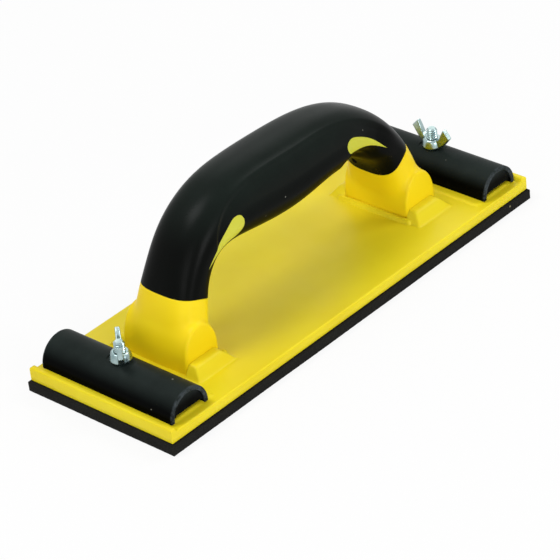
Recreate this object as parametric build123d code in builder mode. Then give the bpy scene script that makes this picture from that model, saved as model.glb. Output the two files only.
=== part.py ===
"""Hand sanding block: a foam-faced base plate, a two-colour D handle and two
wing-nut clamps that hold the ends of an abrasive sheet.

Frame: X along the length, Y across, Z up. The origin is the centre of the
foam's underside, the face that lies on the work. All sizes are millimetres.
"""
from build123d import *
from math import copysign, cos, pi, radians, sin
import os

os.makedirs("parts", exist_ok=True)

# ---------------------------------------------------------------- driving sizes
# Foam pad and adhesive film
pad_length = 236.0
pad_width = 83.0
pad_thickness = 5.0
film_thickness = 0.3
pad_overhang = 1.1            # foam stands this far proud of the plate, all round

# Base plate
plate_thickness = 4.8         # over the main area, between the end pads
plate_edge_radius = 1.0
end_pad_rise = 0.6            # the plate is a little thicker under each clamp
end_pad_step = 4.0            # the thick part starts this far inside the clamp
end_pad_margin = 4.5          # and stops this far from the long edges
rim_height = 1.2              # raised lip along each short end, above the end pad
rim_width = 2.4
rim_slope = 1.2

# Clamps
clamp_width = 21.8            # over the two feet, along X
clamp_length = 73.9           # across the block, along Y
clamp_skirt = 0.9             # straight part of the skin above each foot
clamp_wall = 2.0
clamp_boss_diameter = 9.6     # tube round the bolt, inside the shell
clamp_web_recess = 1.0        # end web sits this far inside the skin
clamp_web_rise = 2.0          # end web stops this far above the feet
clamp_gap_to_rim = 0.6
spotface_diameter = 13.0
spotface_depth = 0.5
spotface_headroom = 2.0       # the cutter clears the crown

# Carriage bolts, #10-24
bolt_diameter = 4.8
bolt_pitch = 1.0583
bolt_end_height = 31.8        # top of the bolt above the foam's underside
bolt_end_chamfer = 0.75 * bolt_pitch
bolt_head_diameter = 11.0
bolt_head_thickness = 2.3
bolt_head_edge = 0.8          # rim of the domed head
bolt_neck_height = 2.0
bolt_neck_corner = 0.5

# Wing nuts
nut_base_diameter = 9.7
nut_top_diameter = 7.6
nut_height = 5.0
wing_span = 23.0
wing_rise = 12.0
wing_thickness = 2.5
wing_tip_setback = 3.9        # the tip's slanted end, along the span and down
wing_root_radius = 2.8        # wings start inside the hub, at this distance from the axis
wing_root_bottom = 0.6
wing_root_top = 4.5
wing_corner = 1.0
front_nut_turn = 47.0         # where each nut happens to stand at rest
rear_nut_turn = 84.0

# Handle core and grip
front_foot_gap = 7.7          # between the front clamp and its foot
rear_foot_gap = 10.5
foot_length = 20.4            # along X
foot_half_width = 18.0        # flat face on each side of a foot
arch_spring_height = 6.0      # straight part of that face above the plate
front_arch_rise = 11.0
rear_arch_rise = 14.5
leg_inset = 0.3               # each leg starts this far inside its foot, along X
leg_flank_inset = 1.0         # and this far inside it along Y
leg_exponent = 3.2            # squareness of the section: 2 is an ellipse
shoulder_exponent = 2.7
grip_exponent = 2.5
grip_wall = 2.6
gate_hole_diameter = 1.8
gate_hole_depth = 1.6
gate_hole_drawn_x = 55.4      # where the moulding gate left its hole under the grip
gate_hole_y = 5.9
gate_hole_z = 36.2
drawn_front_foot_x = -73.0    # the handle's side view below is drawn between feet at these places
drawn_rear_foot_x = 70.2

# Pedestal on the plate that locates each foot
cheek_length = 24.0
cheek_width = 9.0
cheek_height = 5.6
cheek_top_inset = 2.6
ledge_width = 1.5
ledge_height = 2.0
ledge_overhang = 3.0

# Handle screws, two in each foot
screw_diameter = 4.0
screw_length = 20.0
screw_head_diameter = 8.0
screw_head_height = 2.2
screw_pitch_y = 20.0
screw_recess_diameter = 3.4
screw_recess_depth = 1.2

# Clearances
seat_clearance = 0.15         # foot between its cheeks
slide_clearance = 0.10        # clamp on the bolt, radial
thread_clearance = 0.05       # nut on the bolt, radial
hole_clearance = 0.20         # bolt and screw heads in the plate, radial
head_sink = 0.2               # heads stop this far inside the plate's underside

# ------------------------------------------------------------------ worked out
film_bottom = pad_thickness
plate_bottom = film_bottom + film_thickness
plate_top = plate_bottom + plate_thickness
plate_length = pad_length - 2 * pad_overhang
plate_width = pad_width - 2 * pad_overhang

clamp_radius = clamp_width / 2
clamp_bottom = plate_top + end_pad_rise
clamp_arc_z = clamp_bottom + clamp_skirt
clamp_crown = clamp_arc_z + clamp_radius
rim_inner_x = plate_length / 2 - rim_width
clamp_x = rim_inner_x - rim_slope - clamp_gap_to_rim - clamp_radius
spotface_z = clamp_crown - spotface_depth
end_pad_inner_x = clamp_x - clamp_radius - end_pad_step
foot_half_length = foot_length / 2
front_foot_x = -(clamp_x - clamp_radius - front_foot_gap - foot_half_length)
rear_foot_x = clamp_x - clamp_radius - rear_foot_gap - foot_half_length
foot_x = {"front": front_foot_x, "rear": rear_foot_x}
span_ratio = (rear_foot_x - front_foot_x) / (drawn_rear_foot_x - drawn_front_foot_x)
ends = {"front": -1, "rear": 1}


def placed(drawn_x):
    """Where a drawn x comes on the handle between the real feet."""
    return front_foot_x + (drawn_x - drawn_front_foot_x) * span_ratio


# x, z of the line where black meets yellow: inner side, middle and outer side of each leg
front_boundary = [(placed(-57.0), 31.5), (placed(-65.0), 37.3), (placed(-80.0), 40.6)]
rear_boundary = [(placed(56.5), 31.5), (placed(63.5), 38.2), (placed(80.0), 42.0)]


def superellipse(half_long, half_wide, exponent, count=20):
    """Points of a rounded, slightly squared section, going once round."""
    points = []
    for step in range(count):
        angle = 2 * pi * (step + 0.5) / count
        along = copysign(abs(cos(angle)) ** (2 / exponent), cos(angle))
        across = copysign(abs(sin(angle)) ** (2 / exponent), sin(angle))
        points.append((half_wide * across, half_long * along))
    return points


# Handle sections along its centreline, from the front foot to the rear foot:
# x, z, half depth in the XZ plane, half width along Y, squareness
leg_half_depth = foot_half_length - leg_inset
leg_half_width = foot_half_width - leg_flank_inset
stations = [
    (front_foot_x, plate_top, leg_half_depth, leg_half_width, leg_exponent),
    (placed(-70.2), 29.0, 9.6, 16.0, leg_exponent),
    (placed(-65.7), 42.0, 9.8, 14.9, shoulder_exponent),
    (placed(-54.5), 57.4, 11.8, 14.8, grip_exponent),
    (placed(-39.5), 63.2, 14.3, 15.3, grip_exponent),
    (placed(-22.0), 63.5, 15.9, 15.7, grip_exponent),
    (placed(0.0), 62.8, 16.3, 15.8, grip_exponent),
    (placed(22.0), 63.2, 14.4, 15.4, grip_exponent),
    (placed(37.1), 60.6, 13.0, 15.0, grip_exponent),
    (placed(51.4), 54.4, 10.8, 14.8, grip_exponent),
    (placed(62.8), 42.0, 9.0, 15.3, shoulder_exponent),
    (placed(67.3), 29.0, 9.4, 16.2, leg_exponent),
    (rear_foot_x, plate_top, leg_half_depth, leg_half_width, leg_exponent),
]

# Teardrop accents in side view (x, z), from the tip round the head and back.
# The yellow core stands through windows of this shape in the black grip.
front_teardrop = [
    (placed(-60.2), 49.0),
    (placed(-56.4), 53.9),
    (placed(-51.4), 59.0),
    (placed(-46.4), 62.7),
    (placed(-41.6), 64.9),
    (placed(-38.0), 63.4),
    (placed(-37.3), 59.2),
    (placed(-40.4), 55.8),
    (placed(-46.4), 54.6),
    (placed(-53.0), 52.6),
]
rear_teardrop = [
    (placed(54.3), 50.3),
    (placed(49.0), 55.6),
    (placed(42.9), 60.4),
    (placed(36.6), 64.1),
    (placed(31.8), 65.2),
    (placed(29.3), 62.6),
    (placed(30.6), 58.9),
    (placed(35.4), 57.4),
    (placed(41.0), 56.6),
    (placed(47.6), 54.3),
]


def handle_solid(inset):
    """The handle lofted through its sections, with every side moved in by inset."""
    centreline = Spline(
        [(x, 0, z) for x, z, depth, width, exponent in stations],
        tangents=[(0, 0, 1), (0, 0, -1)],
    )
    with BuildPart(mode=Mode.PRIVATE) as body:
        for x, z, depth, width, exponent in stations:
            place = centreline.param_at_point((x, 0, z))
            along = centreline.tangent_at(place)
            with BuildSketch(Plane(origin=(x, 0, z), x_dir=(0, 1, 0), z_dir=along)):
                with BuildLine():
                    Spline(superellipse(depth - inset, width - inset, exponent), periodic=True)
                make_face()
        loft()
    return body.part


def side_view_prism(outline_builder, near_y, far_y):
    """A shape drawn in side view and extruded along Y from near_y to far_y."""
    with BuildPart(mode=Mode.PRIVATE) as prism:
        with BuildSketch(Plane(origin=(0, far_y, 0), x_dir=(1, 0, 0), z_dir=(0, -1, 0))):
            with BuildLine():
                outline_builder()
            make_face()
        extrude(amount=far_y - near_y)
    return prism.part


def grip_outline():
    """The part of the side view that the black grip covers, above both colour lines."""
    reach = pad_length / 2
    roof = pad_length / 2
    for boundary, side in ((front_boundary, -1), (rear_boundary, 1)):
        ThreePointArc(*boundary)
        outer_x, outer_z = boundary[-1]
        Polyline((outer_x, outer_z), (side * reach, outer_z), (side * reach, roof))
    Line((-reach, roof), (reach, roof))
    Line(front_boundary[0], rear_boundary[0])


def teardrop_outline(points):
    """A closed teardrop: one smooth line round the head, with a corner at the tip."""
    return lambda: Spline(points + points[:1])


handle_outer = handle_solid(0)
handle_spine = handle_solid(grip_wall)
side_reach = pad_width / 2
window_start = foot_half_width / 2
grip_zone = side_view_prism(grip_outline, -side_reach, side_reach)
teardrops = [
    side_view_prism(teardrop_outline(points), near_y, far_y)
    for points in (front_teardrop, rear_teardrop)
    for near_y, far_y in ((-side_reach, -window_start), (window_start, side_reach))
]
with BuildPart() as gate_hole:
    gate_hole_end = (placed(gate_hole_drawn_x) + gate_hole_depth, gate_hole_y, gate_hole_z)
    with BuildSketch(Plane(origin=gate_hole_end, z_dir=(-1, 0, 0))):
        Circle(gate_hole_diameter / 2)
    extrude(amount=2 * gate_hole_depth)

# ------------------------------------------------------------------- foam pad
with BuildPart() as foam_pad:
    with BuildSketch(Plane.XY):
        Rectangle(pad_length, pad_width)
    extrude(amount=pad_thickness)
foam_pad.part.label = "foam_pad"
export_step(foam_pad.part, "parts/foam_pad.step")

# -------------------------------------------- double-sided film under the plate
with BuildPart() as pad_adhesive:
    with BuildSketch(Plane.XY.offset(film_bottom)):
        Rectangle(plate_length, plate_width)
    extrude(amount=film_thickness)
pad_adhesive.part.label = "pad_adhesive"
export_step(pad_adhesive.part, "parts/pad_adhesive.step")

# ------------------------------------------------------------------ base plate
screw_places = [(x, row * screw_pitch_y / 2) for x in foot_x.values() for row in (-1, 1)]
bolt_places = [(side * clamp_x, 0) for side in ends.values()]
head_recess_depth = bolt_head_thickness + head_sink
neck_bottom = plate_bottom + head_recess_depth
neck_hole = bolt_diameter + 2 * hole_clearance
screw_head_top = plate_bottom + head_sink + screw_head_height
socket_half_width = foot_half_width + seat_clearance

with BuildPart() as base_plate:
    with BuildSketch(Plane.XY.offset(plate_bottom)):
        Rectangle(plate_length, plate_width)
    extrude(amount=plate_thickness)
    for end, side in ends.items():
        with BuildSketch(Plane.XY.offset(plate_top)):
            with Locations((side * (end_pad_inner_x + plate_length / 2) / 2, 0)):
                Rectangle(plate_length / 2 - end_pad_inner_x, plate_width - 2 * end_pad_margin)
        extrude(amount=end_pad_rise)
        with BuildSketch(Plane(origin=(0, plate_width / 2, 0), x_dir=(1, 0, 0), z_dir=(0, -1, 0))):
            with BuildLine():
                Polyline(
                    (side * (rim_inner_x - rim_slope), clamp_bottom),
                    (side * rim_inner_x, clamp_bottom + rim_height),
                    (side * plate_length / 2, clamp_bottom + rim_height),
                    (side * plate_length / 2, plate_bottom),
                    (side * (rim_inner_x - rim_slope), plate_bottom),
                    close=True,
                )
            make_face()
        extrude(amount=plate_width)
        with BuildSketch(Plane.XY.offset(plate_top)):
            with Locations((foot_x[end], 0)):
                RectangleRounded(cheek_length, 2 * (socket_half_width + cheek_width), cheek_top_inset)
        with BuildSketch(Plane.XY.offset(plate_top + cheek_height)):
            with Locations((foot_x[end], 0)):
                RectangleRounded(
                    cheek_length - 2 * cheek_top_inset,
                    2 * (socket_half_width + cheek_width - cheek_top_inset),
                    cheek_top_inset,
                )
        loft()
        with BuildSketch(Plane.XY.offset(plate_top)):
            with Locations((foot_x[end], 0)):
                Rectangle(cheek_length, 2 * socket_half_width)
        extrude(amount=cheek_height, mode=Mode.SUBTRACT)
        ledge_x = foot_x[end] - side * (foot_half_length + seat_clearance + ledge_width / 2)
        with BuildSketch(Plane.XY.offset(plate_top)):
            with Locations((ledge_x, 0)):
                Rectangle(ledge_width, 2 * (foot_half_width + ledge_overhang))
        extrude(amount=ledge_height)
    corners = base_plate.edges().filter_by(Axis.Z).group_by(SortBy.DISTANCE)[-1]
    fillet(corners, plate_edge_radius)
    with BuildSketch(Plane.XY.offset(plate_bottom)):
        with Locations(*bolt_places):
            Circle(bolt_head_diameter / 2 + hole_clearance)
    extrude(amount=head_recess_depth, mode=Mode.SUBTRACT)
    with BuildSketch(Plane.XY.offset(neck_bottom)):
        with Locations(*bolt_places):
            Rectangle(neck_hole, neck_hole)
    extrude(amount=clamp_bottom - neck_bottom, mode=Mode.SUBTRACT)
    with BuildSketch(Plane.XY.offset(plate_bottom)):
        with Locations(*screw_places):
            Circle(screw_head_diameter / 2 + hole_clearance)
    extrude(amount=screw_head_top - plate_bottom, mode=Mode.SUBTRACT)
    with BuildSketch(Plane.XY.offset(screw_head_top)):
        with Locations(*screw_places):
            Circle(screw_diameter / 2 + hole_clearance)
    extrude(amount=plate_top - screw_head_top, mode=Mode.SUBTRACT)
base_plate.part.label = "base_plate"
export_step(base_plate.part, "parts/base_plate.step")

# ------------------------------------------------------------------------ grip
with BuildPart() as grip:
    add(handle_outer)
    add(grip_zone, mode=Mode.INTERSECT)
    add(handle_spine, mode=Mode.SUBTRACT)
    for teardrop in teardrops:
        add(teardrop, mode=Mode.SUBTRACT)
    add(gate_hole.part, mode=Mode.SUBTRACT)
grip.part.label = "grip"
export_step(grip.part, "parts/grip.step")

# ----------------------------------------------------------------- handle core
arch_rise = {"front": front_arch_rise, "rear": rear_arch_rise}
arch_spring = plate_top + arch_spring_height
half_turn = 180.0

with BuildPart() as handle_core:
    add(handle_outer)
    for end, side in ends.items():
        cheek = Plane(origin=(foot_x[end], foot_half_width, 0), x_dir=(1, 0, 0), z_dir=(0, -1, 0))
        with BuildSketch(cheek):
            with BuildLine():
                arch = EllipticalCenterArc(
                    (0, arch_spring),
                    foot_half_length,
                    arch_rise[end],
                    arc_size=half_turn,
                )
                Polyline(arch @ 1, (-foot_half_length, plate_top), (foot_half_length, plate_top), arch @ 0)
            make_face()
        extrude(amount=2 * foot_half_width)
    add(grip.part, mode=Mode.SUBTRACT)
    add(gate_hole.part, mode=Mode.SUBTRACT)
    with BuildSketch(Plane.XY.offset(plate_top)):
        with Locations(*screw_places):
            Circle(screw_diameter / 2)
    extrude(amount=screw_head_top + screw_length - screw_head_height - plate_top, mode=Mode.SUBTRACT)
handle_core.part.label = "handle_core"
export_step(handle_core.part, "parts/handle_core.step")

# --------------------------------------------------------------- handle screws
with BuildPart() as handle_screws:
    with BuildSketch(Plane.XY.offset(screw_head_top - screw_head_height)):
        with Locations(*screw_places):
            Circle(screw_head_diameter / 2)
    extrude(amount=screw_head_height)
    with BuildSketch(Plane.XY.offset(screw_head_top)):
        with Locations(*screw_places):
            Circle(screw_diameter / 2)
    extrude(amount=screw_length - screw_head_height)
    with BuildSketch(Plane.XY.offset(screw_head_top - screw_head_height)):
        with Locations(*screw_places):
            RegularPolygon(screw_recess_diameter / 2, 6)
    extrude(amount=screw_recess_depth, mode=Mode.SUBTRACT)
handle_screws.part.label = "handle_screws"
export_step(handle_screws.part, "parts/handle_screws.step")


def arch_outline(radius, bottom):
    """Half-round outline with straight skirts down to the bottom height."""
    Line((-radius, bottom), (-radius, clamp_arc_z))
    RadiusArc((-radius, clamp_arc_z), (radius, clamp_arc_z), radius)
    Line((radius, clamp_arc_z), (radius, bottom))
    Line((radius, bottom), (-radius, bottom))


turns = {"front": front_nut_turn, "rear": rear_nut_turn}
nut_bottom = spotface_z
inner_radius = clamp_radius - clamp_wall
bore_radius = bolt_diameter / 2 + slide_clearance
nut_bore_radius = bolt_diameter / 2 + thread_clearance

for end, side in ends.items():
    bolt_axis = Plane(origin=(side * clamp_x, 0, 0))

    # ---------------------------------------------------------------- clamp
    with BuildPart() as clamp:
        rear_end = Plane(origin=(side * clamp_x, clamp_length / 2, 0), x_dir=(1, 0, 0), z_dir=(0, -1, 0))
        with BuildSketch(rear_end):
            with BuildLine():
                arch_outline(clamp_radius, clamp_bottom)
            make_face()
        extrude(amount=clamp_length)
        with BuildSketch(rear_end):
            with BuildLine():
                arch_outline(inner_radius, clamp_bottom)
            make_face()
        extrude(amount=clamp_length, mode=Mode.SUBTRACT)
        for depth in (clamp_web_recess, clamp_length - clamp_web_recess - clamp_wall):
            with BuildSketch(rear_end.offset(depth)):
                with BuildLine():
                    arch_outline(inner_radius, clamp_bottom)
                make_face()
            extrude(amount=clamp_wall)
        with BuildSketch(bolt_axis.offset(clamp_bottom)):
            Rectangle(2 * inner_radius, clamp_length)
        extrude(amount=clamp_web_rise, mode=Mode.SUBTRACT)
        with BuildSketch(bolt_axis.offset(clamp_bottom)):
            Circle(clamp_boss_diameter / 2)
        extrude(amount=spotface_z - clamp_bottom)
        with BuildSketch(bolt_axis.offset(spotface_z)):
            Circle(spotface_diameter / 2)
        extrude(amount=spotface_headroom, mode=Mode.SUBTRACT)
        with BuildSketch(bolt_axis.offset(clamp_bottom)):
            Circle(bore_radius)
        extrude(amount=spotface_z - clamp_bottom, mode=Mode.SUBTRACT)
    clamp.part.label = f"{end}_clamp"
    export_step(clamp.part, f"parts/{end}_clamp.step")

    # ---------------------------------------------------------- carriage bolt
    with BuildPart() as bolt:
        head_side = Plane(origin=(side * clamp_x, 0, neck_bottom), x_dir=(1, 0, 0), z_dir=(0, -1, 0))
        with BuildSketch(head_side):
            with BuildLine():
                Polyline(
                    (0, -bolt_head_thickness),
                    (0, 0),
                    (bolt_head_diameter / 2, 0),
                    (bolt_head_diameter / 2, -bolt_head_edge),
                )
                TangentArc(
                    (0, -bolt_head_thickness),
                    (bolt_head_diameter / 2, -bolt_head_edge),
                    tangent=(1, 0),
                )
            make_face()
        revolve(axis=Axis((side * clamp_x, 0, 0), (0, 0, 1)))
        with BuildSketch(bolt_axis.offset(neck_bottom)):
            RectangleRounded(bolt_diameter, bolt_diameter, bolt_neck_corner)
        extrude(amount=bolt_neck_height)
        with BuildSketch(bolt_axis.offset(neck_bottom)):
            Circle(bolt_diameter / 2)
        extrude(amount=bolt_end_height - neck_bottom)
        chamfer(bolt.edges().sort_by(Axis.Z)[-1], bolt_end_chamfer)
    bolt.part.label = f"{end}_bolt"
    export_step(bolt.part, f"parts/{end}_bolt.step")

    # --------------------------------------------------------------- wing nut
    with BuildPart() as wing_nut:
        with BuildSketch(bolt_axis.offset(nut_bottom)):
            Circle(nut_base_diameter / 2)
        with BuildSketch(bolt_axis.offset(nut_bottom + nut_height)):
            Circle(nut_top_diameter / 2)
        loft()
        turn = radians(turns[end])
        wing_plane = Plane(
            origin=(side * clamp_x, 0, nut_bottom),
            x_dir=(cos(turn), sin(turn), 0),
            z_dir=(sin(turn), -cos(turn), 0),
        )
        with BuildSketch(wing_plane):
            for hand in (-1, 1):
                with BuildLine():
                    FilletPolyline(
                        (hand * wing_root_radius, wing_root_bottom),
                        (hand * nut_base_diameter / 2, wing_root_bottom),
                        (hand * wing_span / 2, wing_rise - wing_tip_setback),
                        (hand * (wing_span / 2 - wing_tip_setback), wing_rise),
                        (hand * nut_top_diameter / 2, wing_root_top),
                        (hand * wing_root_radius, wing_root_top),
                        radius=wing_corner,
                        close=True,
                    )
                make_face()
        extrude(amount=wing_thickness / 2, both=True)
        with BuildSketch(bolt_axis.offset(nut_bottom)):
            Circle(nut_bore_radius)
        extrude(amount=wing_rise, mode=Mode.SUBTRACT)
    wing_nut.part.label = f"{end}_wing_nut"
    export_step(wing_nut.part, f"parts/{end}_wing_nut.step")
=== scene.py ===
# %% [markdown]
# # A hand sanding block, finished in Blender
# The moving frame of this tool (plate, handle, clamps, bolts, nuts) comes from CAD. Here each visible
# piece gets the shape that moulding and wear give the real one: rounded edges, soft fillets, cut threads.
# Shapes are worked out in millimetres with numpy and turned into metres when a mesh is made, because
# plastic parts are thought of in millimetres and Blender's unit is the metre.

import bmesh
import bpy
import numpy as np
from mathutils import Matrix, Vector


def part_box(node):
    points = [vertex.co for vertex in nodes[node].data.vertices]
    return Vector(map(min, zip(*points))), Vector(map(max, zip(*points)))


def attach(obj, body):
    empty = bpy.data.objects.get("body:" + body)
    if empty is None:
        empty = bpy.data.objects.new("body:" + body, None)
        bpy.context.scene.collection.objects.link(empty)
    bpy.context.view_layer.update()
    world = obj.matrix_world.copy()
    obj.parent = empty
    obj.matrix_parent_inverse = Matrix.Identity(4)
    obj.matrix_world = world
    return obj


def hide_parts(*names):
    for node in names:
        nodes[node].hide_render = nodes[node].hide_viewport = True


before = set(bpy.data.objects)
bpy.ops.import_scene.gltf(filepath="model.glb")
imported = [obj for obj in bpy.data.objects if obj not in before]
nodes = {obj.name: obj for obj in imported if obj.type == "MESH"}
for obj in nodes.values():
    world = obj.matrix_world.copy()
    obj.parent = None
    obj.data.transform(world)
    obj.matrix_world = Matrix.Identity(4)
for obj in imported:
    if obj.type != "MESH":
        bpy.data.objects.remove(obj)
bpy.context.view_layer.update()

MM = 0.001
ENDS = (("front", -1), ("rear", 1))


def millimetres(node):
    """Lowest and highest corners of a CAD node, in millimetres."""
    low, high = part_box(node)
    return np.array(low) / MM, np.array(high) / MM


# %% [markdown]
# ## Turning points into a piece
# A piece is one or more closed shells. Each shell is a grid of points: rows go one way over the surface and
# columns the other. Neighbouring points are joined by faces with index arithmetic on whole arrays, the seams
# and poles are welded, and the shell is turned so that its faces point outwards, which its volume tells.

# %% Grids of points


def smooth_step(t):
    """Zero below 0, one above 1, and an S between: 3 t squared less 2 t cubed."""
    t = np.clip(t, 0.0, 1.0)
    return t * t * (3.0 - 2.0 * t)


def grid_shell(points, wrap_columns=True):
    """Points (rows, columns, 3) in mm as one shell: its points, and faces from each four neighbours."""
    index = np.arange(points[..., 0].size).reshape(points.shape[:2])
    if wrap_columns:
        index = np.concatenate([index, index[:, :1]], axis=1)
    corners = [index[:-1, :-1], index[:-1, 1:], index[1:, 1:], index[1:, :-1]]
    return points.reshape(-1, 3), np.stack(corners, axis=-1).reshape(-1, 4)


def full_turn(count, start=-np.pi):
    """Directions once round, in radians, without the last one that repeats the first."""
    return np.linspace(start, start + 2 * np.pi, count + 1)[:-1]


def joined(*parts):
    """Several grids that share their edges, as the parts of one shell."""
    starts = np.cumsum([0] + [len(p) for p, f in parts[:-1]])
    points = np.concatenate([p for p, f in parts])
    faces = np.concatenate([f + start for start, (p, f) in zip(starts, parts)])
    return points, faces


# %% [markdown]
# ## From shells to a mesh
# Welding by distance joins a seam's two sides and shrinks each pole to one point, which leaves the shell
# closed. Overlapping shells of a piece share one mesh, as parts of one moulding do.

# %% Helpers that weld and finish a piece
WELD = 0.002 * MM


def closed(shell):
    """The shell as a bmesh in metres, welded where its points meet and facing outwards."""
    points, faces = shell
    mesh = bpy.data.meshes.new("shell")
    mesh.from_pydata((points * MM).tolist(), [], faces.tolist())
    welded = bmesh.new()
    welded.from_mesh(mesh)
    bpy.data.meshes.remove(mesh)
    bmesh.ops.remove_doubles(welded, verts=welded.verts, dist=WELD)
    if welded.calc_volume(signed=True) < 0:
        bmesh.ops.reverse_faces(welded, faces=welded.faces)
    return welded


def make_piece(name, shells, body, sharp, replaces=()):
    """A finished piece: its shells in one mesh, shaded smooth but over edges sharper than so many degrees."""
    mesh = bpy.data.meshes.new(name)
    whole = bmesh.new()
    for shell in shells:
        part = closed(shell)
        part.to_mesh(mesh)
        part.free()
        whole.from_mesh(mesh)
    whole.to_mesh(mesh)
    open_edges = sum(edge.is_boundary for edge in whole.edges)
    whole.free()
    mesh.shade_smooth()
    mesh.set_sharp_from_angle(angle=np.radians(sharp))
    piece = bpy.data.objects.new(name, mesh)
    bpy.context.scene.collection.objects.link(piece)
    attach(piece, body)
    if replaces:
        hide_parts(*replaces)
    print(f"{name}: {len(mesh.polygons)} faces, {open_edges} open edges")
    return piece


def crowded(start, end, count, places):
    """Values from start to end, packed closer round each (place, reach, how much closer)."""
    fine = np.linspace(start, end, 6000)
    density = np.ones_like(fine)
    for place, reach, closer in places:
        density += closer * np.exp(-(((fine - place) / reach) ** 2))
    total = np.concatenate([[0.0], np.cumsum((density[1:] + density[:-1]) / 2)])
    return np.interp(np.linspace(0.0, total[-1], count), total, fine)


# %% [markdown]
# ## The handle's spine
# The handle bends like a flattened D. Its centreline is the smoothest curve through a few stations, the kind
# a bent batten takes, and each station also says how deep, wide and square the handle is there. Solving for
# the slopes at the stations (equal bend on both sides of each) gives a curve with no kink anywhere.

# %% Smooth curves through stations


def spline_slopes(knots, values, first, last):
    """Slopes at the knots: first and last are given, each inner one makes the bend equal on both sides."""
    gaps = np.diff(knots)
    chords = np.diff(values, axis=0) / gaps[:, None]
    inner = np.arange(1, len(knots) - 1)
    matrix = np.eye(len(knots))
    matrix[inner, inner - 1] = gaps[1:]
    matrix[inner, inner] = 2 * (gaps[:-1] + gaps[1:])
    matrix[inner, inner + 1] = gaps[:-1]
    right = np.zeros_like(values)
    right[0], right[-1] = first, last
    right[1:-1] = 3 * (gaps[1:, None] * chords[:-1] + gaps[:-1, None] * chords[1:])
    return np.linalg.solve(matrix, right)


def spline_points(knots, values, slopes, places):
    """Points of the curve, a cubic between each two knots that has their values and slopes."""
    left = np.clip(np.searchsorted(knots, places, side="right") - 1, 0, len(knots) - 2)
    gap = (knots[left + 1] - knots[left])[:, None]
    t = (places[:, None] - knots[left][:, None]) / gap
    rise = t * t * (3 - 2 * t)
    ends = (1 - rise) * values[left] + rise * values[left + 1]
    return ends + gap * (t * (1 - t) ** 2 * slopes[left] - t * t * (1 - t) * slopes[left + 1])


def chord_lengths(points):
    """Running length along straight runs between points, from 0."""
    return np.concatenate([[0.0], np.cumsum(np.hypot(*np.diff(points, axis=0).T))])


# %% [markdown]
# ## Stations of the handle
# The stations stand where the handle changes: at the feet, up the legs, round both bends and along the palm.
# The curve is told to leave the front foot straight up and to come straight down on the rear one, because
# the legs stand square on the plate. The palm is thickest in the middle, where the hand closes round it.

# %% The handle's stations
plate_top = 10.1
front_foot_x, rear_foot_x = -73.0, 70.2
# x, z, half depth, half width, squareness (2 is an ellipse)
stations = np.array([
    (front_foot_x, plate_top, 9.9, 17.0, 3.2),
    (-70.2, 29.0, 9.6, 16.0, 3.2),
    (-65.7, 42.0, 9.7, 14.9, 2.55),
    (-54.4, 57.3, 11.1, 14.8, 2.3),
    (-39.5, 63.1, 14.1, 15.3, 2.5),
    (-22.0, 63.5, 15.9, 15.8, 2.72),
    (0.0, 62.8, 16.3, 15.9, 2.78),
    (22.0, 63.05, 14.6, 15.5, 2.6),
    (37.1, 60.6, 13.0, 15.0, 2.5),
    (51.1, 54.2, 10.7, 14.8, 2.5),
    (62.3, 42.0, 9.1, 15.3, 2.7),
    (66.9, 29.0, 9.5, 16.2, 3.2),
    (rear_foot_x, plate_top, 9.9, 17.0, 3.2),
])
knots = chord_lengths(stations[:, :2])
first_change = (stations[1, 2:] - stations[0, 2:]) / knots[1]
last_change = (stations[-1, 2:] - stations[-2, 2:]) / (knots[-1] - knots[-2])
up_and_out, down_and_in = np.array([0, 1, *first_change]), np.array([0, -1, *last_change])
station_slopes = spline_slopes(knots, stations, up_and_out, down_and_in)
along = np.linspace(0.0, knots[-1], 2400)
spine = spline_points(knots, stations, station_slopes, along)
heading = np.gradient(spine[:, :2], along, axis=0)
heading /= np.linalg.norm(heading, axis=1)[:, None]
outward = np.stack([-heading[:, 1], heading[:, 0]], axis=1)
print("handle path:", round(knots[-1], 1), "mm; top at", round((spine[:, 1] + spine[:, 2]).max(), 2), "mm")


def spine_at(place, column):
    """One column of the spine's table at places along it."""
    return np.interp(place, along, column)


# %% [markdown]
# ## The handle's skin
# A cross-section is a squared ellipse: (depth part) to the power n plus (width part) to the power n is 1.
# In polar form its radius in a direction comes straight out of that, so the whole skin is a function of two
# numbers: the place along the spine and the direction round it. On the real grip the palm side swells over
# a flatter panel on each flank, with a soft crease between them, so the panel's radius is taken in a little.
# Beneath the rear teardrops the grip is hollowed further, where the last finger lies.

# %% Side panel and hollow
panel_depth, hollow_depth = 1.3, 2.2
crease_width = np.radians(12.5)
# place along X, and the direction of the crease there: 0 is the outside of the bend, 90 the flank
crease = np.array([
    (-68, 172), (-60, 130), (-52, 84), (-45, 62), (-37, 51.5), (-27, 47), (-10, 45.5), (8, 46),
    (20, 46.5), (30, 50), (39, 55), (47, 62), (55, 69), (61, 74),
], float)
crease_slopes = spline_slopes(crease[:, 0], crease[:, 1:], np.array([-5.0]), np.array([0.8]))


def crease_direction(x):
    """Direction of the crease, in radians, where the spine has that x."""
    inside = np.clip(x, crease[0, 0], crease[-1, 0]).ravel()
    degrees = spline_points(crease[:, 0], crease[:, 1:], crease_slopes, inside)
    return np.radians(degrees)[:, 0].reshape(x.shape)


def panel_depth_at(x, turned):
    """Depth of the side panel: full below the crease, fading out underneath and towards the rear bend."""
    below = smooth_step((turned - crease_direction(x)) / crease_width + 0.5)
    middle, rearward = smooth_step((x + 30) / 30), smooth_step((x - 30) / 12)
    fade_start = np.radians(82 + 3 * middle + 45 * rearward)
    fade = 1 - smooth_step((turned - fade_start) / np.radians(28 + 8 * rearward))
    deeper = 1 + 0.4 * np.exp(-(((x - 43) / 8) ** 2))
    return panel_depth * deeper * (1 - smooth_step((x - 48) / 11)) * below * fade


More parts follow.
